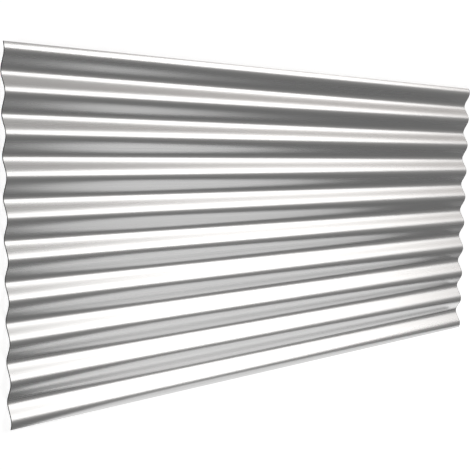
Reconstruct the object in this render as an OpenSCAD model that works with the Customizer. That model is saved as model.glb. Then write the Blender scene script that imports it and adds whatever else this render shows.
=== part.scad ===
// Corrugated metal sheet: one sheet, rolled to a sine-wave section and sheared to length.
// Sizes are in millimetres. X runs along the corrugations, Y across them and Z up.
// The sheet lies flat with its crests up. The origin is on the floor, under its middle.

/* [Sheet] */
// Length along the corrugations
sheet_length = 1420; // [300:10:6000]
// Thickness of the metal
metal_thickness = 1; // [0.4:0.1:3]

/* [Corrugation] */
// Distance from one crest to the next
wave_pitch = 76; // [50:1:150]
// Height of a crest above a valley, on the same face of the metal
wave_depth = 16; // [8:0.5:30]
// Whole waves between the two outer crests
wave_count = 9; // [2:1:16]
// Width of the lip that turns down beyond each outer crest
lip_width = 12.5; // [5:0.5:25]

/* [Smoothness] */
// Straight steps that draw one wave
steps_per_wave = 32; // [16:4:48]

/* [Hidden] */

crest_span = wave_count * wave_pitch;
sheet_width = crest_span + 2 * lip_width;
wave_steps = wave_count * steps_per_wave;
lip_steps = max(2, round(steps_per_wave * lip_width / wave_pitch));

// Stations across the sheet: the steps of one lip, of the waves and of the other lip.
stations = [
    for (i = [0 : lip_steps - 1]) -sheet_width / 2 + i * lip_width / lip_steps,
    for (i = [0 : wave_steps]) -crest_span / 2 + i * wave_pitch / steps_per_wave,
    for (i = [1 : lip_steps]) crest_span / 2 + i * lip_width / lip_steps
];

// Phase of the wave at a station: 0 degrees on a crest, 180 degrees in a valley.
function wave_phase(y) = 360 * (y + crest_span / 2) / wave_pitch;

// Height of the sheet's middle line at a station, above its mean level.
function middle_height(y) = wave_depth / 2 * cos(wave_phase(y));

// Angle of the middle line at a station, from level.
function middle_slope(y) = atan(-PI * wave_depth / wave_pitch * sin(wave_phase(y)));

// Point of a face that lies off the middle line, square to it, by the given distance.
function face_point(y, off) = [
    y - off * sin(middle_slope(y)),
    middle_height(y) + off * cos(middle_slope(y))
];

// Section across the waves: the upper face one way and the lower face back.
module wave_section() {
    upper_face = [for (y = stations) face_point(y, metal_thickness / 2)];
    lower_face = [for (i = [len(stations) - 1 : -1 : 0]) face_point(stations[i], -metal_thickness / 2)];
    polygon(concat(upper_face, lower_face));
}

// The sheet: its section run along the corrugations, with the valleys on the floor.
module corrugated_sheet() {
    valley_drop = (wave_depth + metal_thickness) / 2;
    color("silver")
        translate([0, 0, valley_drop])
            rotate([90, 0, 90])
                linear_extrude(height = sheet_length, center = true)
                    wave_section();
}

corrugated_sheet();
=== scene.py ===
import math

import bpy
from mathutils import Matrix, Vector


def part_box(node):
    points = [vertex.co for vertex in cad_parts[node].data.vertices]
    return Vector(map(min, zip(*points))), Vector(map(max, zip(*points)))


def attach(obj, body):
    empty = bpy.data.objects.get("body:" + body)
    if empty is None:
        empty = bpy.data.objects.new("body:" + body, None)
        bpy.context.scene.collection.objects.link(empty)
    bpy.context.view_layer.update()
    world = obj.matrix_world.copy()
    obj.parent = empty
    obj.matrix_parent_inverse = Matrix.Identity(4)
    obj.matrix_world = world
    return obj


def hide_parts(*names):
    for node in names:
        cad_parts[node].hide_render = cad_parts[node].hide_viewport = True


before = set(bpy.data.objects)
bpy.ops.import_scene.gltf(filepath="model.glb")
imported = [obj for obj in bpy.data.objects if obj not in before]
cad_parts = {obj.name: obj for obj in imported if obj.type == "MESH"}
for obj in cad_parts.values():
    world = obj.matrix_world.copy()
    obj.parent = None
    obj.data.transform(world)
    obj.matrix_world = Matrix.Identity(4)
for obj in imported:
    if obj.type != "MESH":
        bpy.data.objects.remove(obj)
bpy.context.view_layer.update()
scene = bpy.context.scene
scene.view_settings.view_transform = "Standard"
print("frame loaded:", sorted(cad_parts))


def newNode(tree, kind, **settings):
    node = tree.nodes.new(kind)
    for name, value in settings.items():
        setattr(node, name, value)
    return node


def feed(tree, node, inputs):
    # each input takes a plain value or another node's output socket
    for key, value in inputs.items():
        socket = node.inputs[key]
        if isinstance(value, bpy.types.NodeSocket):
            tree.links.new(value, socket)
        else:
            socket.default_value = value
    return node


def mathNode(tree, operation, *values):
    node = newNode(tree, "ShaderNodeMath", operation=operation)
    return feed(tree, node, dict(enumerate(values))).outputs[0]


def ramp(tree, value, ends, results=(0, 1), shape="LINEAR"):
    # goes from the first result to the second as the value goes from end to end, and stays there
    node = newNode(tree, "ShaderNodeMapRange", interpolation_type=shape)
    return feed(tree, node, {"Value": value, "From Min": ends[0], "From Max": ends[1],
                             "To Min": results[0], "To Max": results[1]}).outputs[0]


def numberMix(tree, amount, first, second):
    node = newNode(tree, "ShaderNodeMix", data_type="FLOAT")
    return feed(tree, node, {0: amount, 2: first, 3: second}).outputs[0]


def colourMix(tree, amount, first, second):
    node = newNode(tree, "ShaderNodeMix", data_type="RGBA")
    return feed(tree, node, {0: amount, 6: first, 7: second}).outputs[2]


# zinc coating on the rolled sheet
zincLook = {
    "slot": "zinc_coated_steel",
    "paleZinc": (0.742, 0.74, 0.737, 1),
    "dullZinc": (0.702, 0.70, 0.697, 1),
    "smoothest": 0.266,              # roughness between the rolling streaks
    "roughest": 0.294,               # roughness in the streaks
    "streakScale": (1.1, 330, 330),  # long along the rolling direction, fine across it
    "streakDetail": 3.0,
    "streakHeight": 0.000003,        # metres
    "bandScale": (0.6, 42, 42),      # broader bands under the streaks
    "bandDetail": 2.0,
    "grain": 0.55,                   # how much the finer noise counts in both
    "streakShare": 0.6,              # the rest of the pattern is the broad bands
    "dullFrom": (0.3, 0.7),          # pattern levels between which the zinc turns dull
    # the cut steel's colour, darkened to near black as painted shade along the ends
    "cutSteelAndEdgeShade": (0.05, 0.05, 0.05, 1),
    "cutRoughness": 0.5,
    "edgeShadeLine": (0.00156, 0.00096),   # distances from the end where the dark line of painted edge shade begins and is full
}


def zincCoating(halfLength):
    look = zincLook
    material = bpy.data.materials.new("zincCoating")
    material.use_nodes = True
    tree = material.node_tree
    shader = tree.nodes["Principled BSDF"]
    place = newNode(tree, "ShaderNodeTexCoord").outputs["Object"]

    def stretchedNoise(scale, detail):
        mapping = feed(tree, newNode(tree, "ShaderNodeMapping"), {"Vector": place, "Scale": scale})
        noise = feed(tree, newNode(tree, "ShaderNodeTexNoise"),
                     {"Vector": mapping.outputs[0], "Scale": 1.0,
                      "Detail": detail, "Roughness": look["grain"]})
        return noise.outputs["Fac"]

    streaks = stretchedNoise(look["streakScale"], look["streakDetail"])
    bands = stretchedNoise(look["bandScale"], look["bandDetail"])
    pattern = numberMix(tree, look["streakShare"], bands, streaks)
    dull = ramp(tree, pattern, look["dullFrom"], shape="SMOOTHSTEP")

    # sheared ends: bare steel at the cut, with a near-black line painted along each end as painted
    # shade of the edge outline
    along = feed(tree, newNode(tree, "ShaderNodeSeparateXYZ"), {0: place}).outputs["X"]
    edgeShadeEnds = [halfLength - distance for distance in look["edgeShadeLine"]]
    cutAndEdgeShade = ramp(tree, mathNode(tree, "ABSOLUTE", along), edgeShadeEnds)

    zinc = colourMix(tree, dull, look["paleZinc"], look["dullZinc"])
    gloss = ramp(tree, dull, (0, 1), (look["smoothest"], look["roughest"]))
    bump = feed(tree, newNode(tree, "ShaderNodeBump"),
                {"Strength": 1.0, "Distance": look["streakHeight"], "Height": streaks})
    feed(tree, shader, {"Base Color": colourMix(tree, cutAndEdgeShade, zinc, look["cutSteelAndEdgeShade"]),
                        "Roughness": numberMix(tree, cutAndEdgeShade, gloss, look["cutRoughness"]),
                        "Normal": bump.outputs[0], "Metallic": 1.0})
    return material


# the rolled sheet: nine waves, outer crests up, sizes in metres
sheetPlan = {
    "pitch": 0.076,          # crest to crest
    "depth": 0.016,          # crest above valley, on one face
    "waves": 9,              # whole waves between the outer crests
    "lip": 0.0125,           # turned-down edge beyond each outer crest
    "thickness": 0.001,
    "pinch": 0.0153,         # valleys a little tighter than crests, as a share of the wave
    "straightness": 0.0089,  # flanks a little straighter than a pure sine's
    "stepsPerWave": 80,
    "stepsAlong": 24,
    "edgeRound": 0.00012,    # the shear rolls the edges over a little
    "edgeSteps": 2,
    "edgeAngle": 50.0,       # degrees: only edges sharper than this are rolled over
    "faceWeight": 80,        # keeps the shading of the wide faces level up to the edges
}


def corrugationTree(material):
    tree = bpy.data.node_groups.new("corrugation", "GeometryNodeTree")
    sockets = tree.interface
    sockets.new_socket("Geometry", in_out="INPUT", socket_type="NodeSocketGeometry")
    for name in ("Length", "Width", "Thickness", "Pitch", "Depth", "Pinch", "Straightness"):
        sockets.new_socket(name, in_out="INPUT", socket_type="NodeSocketFloat")
    for name in ("Waves", "Steps Along", "Steps Across"):
        sockets.new_socket(name, in_out="INPUT", socket_type="NodeSocketInt")
    sockets.new_socket("Geometry", in_out="OUTPUT", socket_type="NodeSocketGeometry")
    given = newNode(tree, "NodeGroupInput").outputs
    result = newNode(tree, "NodeGroupOutput")

    def value(operation, *values):
        return mathNode(tree, operation, *values)

    # a flat plate, cut into steps along and across
    plateSize = feed(tree, newNode(tree, "ShaderNodeCombineXYZ"),
                     {"X": given["Length"], "Y": given["Width"], "Z": given["Thickness"]})
    plate = feed(tree, newNode(tree, "GeometryNodeMeshCube"),
                 {"Size": plateSize.outputs[0], "Vertices X": value("ADD", given["Steps Along"], 1),
                  "Vertices Y": value("ADD", given["Steps Across"], 1), "Vertices Z": 2})
    flat = feed(tree, newNode(tree, "ShaderNodeSeparateXYZ"),
                {0: newNode(tree, "GeometryNodeInputPosition").outputs[0]}).outputs

    # the middle line: a sine, with a little of its second and third overtones
    turn = value("MULTIPLY", value("DIVIDE", flat["Y"], given["Pitch"]), 2 * math.pi)
    phase = value("ADD", turn, value("MULTIPLY", given["Waves"], math.pi))
    halfDepth = value("MULTIPLY", given["Depth"], 0.5)
    swing = value("DIVIDE", halfDepth, value("ADD", given["Straightness"], 1))
    twice = value("MULTIPLY", phase, 2)
    thrice = value("MULTIPLY", phase, 3)
    dip = value("MULTIPLY", given["Pinch"], value("SUBTRACT", 1, value("COSINE", twice)))
    ease = value("MULTIPLY", given["Straightness"], value("COSINE", thrice))
    rise = value("ADD", value("COSINE", phase), value("ADD", dip, ease))
    dipLean = value("MULTIPLY", value("MULTIPLY", given["Pinch"], -2), value("SINE", twice))
    easeLean = value("MULTIPLY", value("MULTIPLY", given["Straightness"], 3), value("SINE", thrice))
    lean = value("ADD", value("SINE", phase), value("ADD", dipLean, easeLean))
    steepest = value("MULTIPLY", value("DIVIDE", swing, given["Pitch"]), -2 * math.pi)
    slope = value("ARCTANGENT", value("MULTIPLY", steepest, lean))
    lift = value("MULTIPLY", value("ADD", given["Depth"], given["Thickness"]), 0.5)
    height = value("ADD", value("MULTIPLY", swing, rise), lift)

    # rolled: each point keeps its place in the thickness, square to the middle line
    rolledAcross = value("SUBTRACT", flat["Y"], value("MULTIPLY", flat["Z"], value("SINE", slope)))
    rolledHeight = value("ADD", height, value("MULTIPLY", flat["Z"], value("COSINE", slope)))
    rolledPlace = feed(tree, newNode(tree, "ShaderNodeCombineXYZ"),
                       {"X": flat["X"], "Y": rolledAcross, "Z": rolledHeight})
    rolled = feed(tree, newNode(tree, "GeometryNodeSetPosition"),
                  {"Geometry": plate.outputs["Mesh"], "Position": rolledPlace.outputs[0]})
    smooth = feed(tree, newNode(tree, "GeometryNodeSetShadeSmooth"),
                  {"Geometry": rolled.outputs[0]})
    whole = feed(tree, newNode(tree, "GeometryNodeRealizeInstances"),
                 {"Geometry": smooth.outputs[0]})
    coated = feed(tree, newNode(tree, "GeometryNodeSetMaterial"),
                  {"Geometry": whole.outputs[0], "Material": material})
    feed(tree, result, {"Geometry": coated.outputs[0]})
    return tree


def corrugatedSheet():
    plan = sheetPlan
    low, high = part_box("corrugated_sheet")
    length = high.x - low.x
    width = plan["waves"] * plan["pitch"] + 2 * plan["lip"]
    holder = bpy.data.objects.new("sheetMaker", bpy.data.meshes.new("sheetMaker"))
    scene.collection.objects.link(holder)
    maker = holder.modifiers.new("corrugation", "NODES")
    maker.node_group = corrugationTree(zincCoating(length / 2))
    asked = {
        "Length": length, "Width": width, "Thickness": plan["thickness"],
        "Pitch": plan["pitch"], "Depth": plan["depth"],
        "Pinch": plan["pinch"], "Straightness": plan["straightness"],
        "Waves": plan["waves"], "Steps Along": plan["stepsAlong"],
        "Steps Across": round(width / plan["pitch"] * plan["stepsPerWave"]),
    }
    for item in maker.node_group.interface.items_tree:
        if item.in_out == "INPUT" and item.name in asked:
            maker[item.identifier] = asked[item.name]
    rounded = holder.modifiers.new("shearedEdge", "BEVEL")
    rounded.width = plan["edgeRound"]
    rounded.segments = plan["edgeSteps"]
    rounded.limit_method = "ANGLE"
    rounded.angle_limit = math.radians(plan["edgeAngle"])
    shading = holder.modifiers.new("evenShading", "WEIGHTED_NORMAL")
    shading.weight = plan["faceWeight"]
    depsgraph = bpy.context.evaluated_depsgraph_get()
    made = bpy.data.meshes.new_from_object(holder.evaluated_get(depsgraph))
    made.name = "corrugatedSheet"
    bpy.data.objects.remove(holder)
    sheet = bpy.data.objects.new("corrugatedSheet", made)
    scene.collection.objects.link(sheet)
    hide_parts("corrugated_sheet")
    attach(sheet, "root")
    print("sheet made:", len(made.polygons), "faces")


corrugatedSheet()

# camera: where the photograph was taken from, with the sheet laid flat
cameraPlan = {
    "place": (-1.2883, 0.1658, 1.3514),
    "aim": (-0.16906, -0.02257, 0.0085),
    "roll": 97.984,  # degrees about the line of sight
    "lens": 59.633,
    "sensor": 36.0,
}


def photoCamera():
    plan = cameraPlan
    data = bpy.data.cameras.new("photoCamera")
    data.lens = plan["lens"]
    data.sensor_width = plan["sensor"]
    data.sensor_fit = "HORIZONTAL"
    camera = bpy.data.objects.new("photoCamera", data)
    scene.collection.objects.link(camera)
    sight = Vector(plan["aim"]) - Vector(plan["place"])
    turned = sight.to_track_quat("-Z", "Y").to_matrix().to_4x4()
    rolled = turned @ Matrix.Rotation(math.radians(plan["roll"]), 4, "Z")
    camera.matrix_world = Matrix.Translation(plan["place"]) @ rolled
    scene.camera = camera
    print("camera placed")


photoCamera()

# pale studio floor
floorPlan = {
    "half": 60.0,
    "paint": (0.8, 0.8, 0.8, 1),
    "glow": 0.48,  # what the floor shows of the white surround
}


def stageMesh(name, corners, shader):
    # one flat face of the studio, which isn't part of the sheet
    mesh = bpy.data.meshes.new(name)
    mesh.from_pydata(corners, [], [tuple(range(len(corners)))])
    item = bpy.data.objects.new(name, mesh)
    scene.collection.objects.link(item)
    material = bpy.data.materials.new(name)
    material.use_nodes = True
    tree = material.node_tree
    tree.nodes.clear()
    feed(tree, newNode(tree, "ShaderNodeOutputMaterial"), {"Surface": shader(tree)})
    mesh.materials.append(material)
    return item


def paleFloor():
    half = floorPlan["half"]

    def floorPaint(tree):
        paint = feed(tree, newNode(tree, "ShaderNodeBsdfDiffuse"), {"Color": floorPlan["paint"]})
        path = newNode(tree, "ShaderNodeLightPath").outputs
        seen = mathNode(tree, "MAXIMUM", path["Is Camera Ray"], path["Is Glossy Ray"])
        seen = mathNode(tree, "MAXIMUM", seen, path["Is Transmission Ray"])
        strength = mathNode(tree, "MULTIPLY", seen, floorPlan["glow"])
        glow = feed(tree, newNode(tree, "ShaderNodeEmission"), {"Strength": strength})
        both = newNode(tree, "ShaderNodeAddShader")
        return feed(tree, both, {0: paint.outputs[0], 1: glow.outputs[0]}).outputs[0]

    corners = [(-half, -half, 0), (half, -half, 0), (half, half, 0), (-half, half, 0)]
    stageMesh("paleFloor", corners, floorPaint)
    print("floor laid")


paleFloor()

# studio light
lightPlan = {
    "far": 24.0,                              # how far out the lamps hang
    "keyFrom": (0.5581, 0.4724, 0.6822),      # where the large oval softbox hangs
    "keyAcross": (0.649, 0.246, -0.72),       # its long way
    "keySize": (21.28, 15.28),
    "keyPower": 1244,
    "keyTint": (1.0, 0.994, 0.985),
    "backFill": (-0.72, 0.25, 0.65),          # weak round fill behind the camera
    "sideFill": (-0.55, -0.58, 0.60),         # another by the near corner
    "fillAngle": 44.0,                        # how wide each fill looks, in degrees
    "fillStrength": 0.736,
    # low white card along the front edge
    "cardCorners": [(-0.668, -0.514, 0), (1.262, -0.514, 0), (0.071, -0.514, 0.595)],
    "cardGlow": 0.841,
    "cardFoot": 1.204,                        # its glow at the floor
    "cardFade": 0.12,                         # height over which that eases off
    "domeGrey": (0.1719, 0.1719, 0.1719, 1),
    "paleTint": (0.4193, 0.411, 0.4036, 1),   # the dome's brighter side
    "paleFrom": (0.3121, 0.8902, 0.3319),
    "paleSpread": (99.9, 6.5),                # degrees from its middle, from none to full
    "warmTint": (0.4453, 0.4139, 0.3969, 1),  # a warmer patch low beside the softbox
    "warmFrom": (0.78, 0.61, 0.13),
    "warmSpread": (30, 6),
    "horizon": (1, 1, 1, 1),
    "horizonFade": (0.03, 0.06),              # sines of the heights between which the white fades
}


def hangLamp(data, away, across=(0, 0, 1)):
    # hung far out along a direction, facing the sheet
    lamp = bpy.data.objects.new(data.name, data)
    lamp.visible_camera = False
    scene.collection.objects.link(lamp)
    back = Vector(away).normalized()
    sideways = (Vector(across) - back * back.dot(Vector(across))).normalized()
    turned = Matrix((sideways, back.cross(sideways), back)).transposed().to_4x4()
    lamp.matrix_world = Matrix.Translation(back * lightPlan["far"]) @ turned


def lowCard():
    plan = lightPlan

    def cardLight(tree):
        place = newNode(tree, "ShaderNodeTexCoord").outputs["Object"]
        high = feed(tree, newNode(tree, "ShaderNodeSeparateXYZ"), {0: place}).outputs["Z"]
        strength = ramp(tree, high, (0, plan["cardFade"]), (plan["cardFoot"], plan["cardGlow"]))
        return feed(tree, newNode(tree, "ShaderNodeEmission"), {"Strength": strength}).outputs[0]

    card = stageMesh("lowCard", plan["cardCorners"], cardLight)
    card.visible_camera = False
    card.visible_shadow = False


def studioDome():
    plan = lightPlan
    world = bpy.data.worlds.new("studioDome")
    scene.world = world
    world.use_nodes = True
    tree = world.node_tree
    way = newNode(tree, "ShaderNodeTexCoord").outputs["Generated"]

    def facing(middle, spread):
        # full near that side of the dome, none away from it
        toward = feed(tree, newNode(tree, "ShaderNodeVectorMath", operation="DOT_PRODUCT"),
                      {0: way, 1: Vector(middle).normalized()})
        ends = [math.cos(math.radians(angle)) for angle in spread]
        return ramp(tree, toward.outputs["Value"], ends, shape="SMOOTHSTEP")

    dome = plan["domeGrey"]
    for patch in ("pale", "warm"):
        amount = facing(plan[patch + "From"], plan[patch + "Spread"])
        dome = colourMix(tree, amount, dome, plan[patch + "Tint"])
    high = feed(tree, newNode(tree, "ShaderNodeSeparateXYZ"), {0: way}).outputs["Z"]
    above = ramp(tree, high, plan["horizonFade"], shape="SMOOTHSTEP")
    feed(tree, tree.nodes["Background"], {"Color": colourMix(tree, above, plan["horizon"], dome)})


def studioLight():
    plan = lightPlan
    key = bpy.data.lights.new("keyLight", "AREA")
    key.shape = "ELLIPSE"
    key.size, key.size_y = plan["keySize"]
    key.energy = plan["keyPower"]
    key.color = plan["keyTint"]
    hangLamp(key, plan["keyFrom"], plan["keyAcross"])
    for name in ("backFill", "sideFill"):
        fill = bpy.data.lights.new(name, "SUN")
        fill.angle = math.radians(plan["fillAngle"])
        fill.energy = plan["fillStrength"]
        hangLamp(fill, plan[name])
    lowCard()
    studioDome()
    print("studio lit")


studioLight()
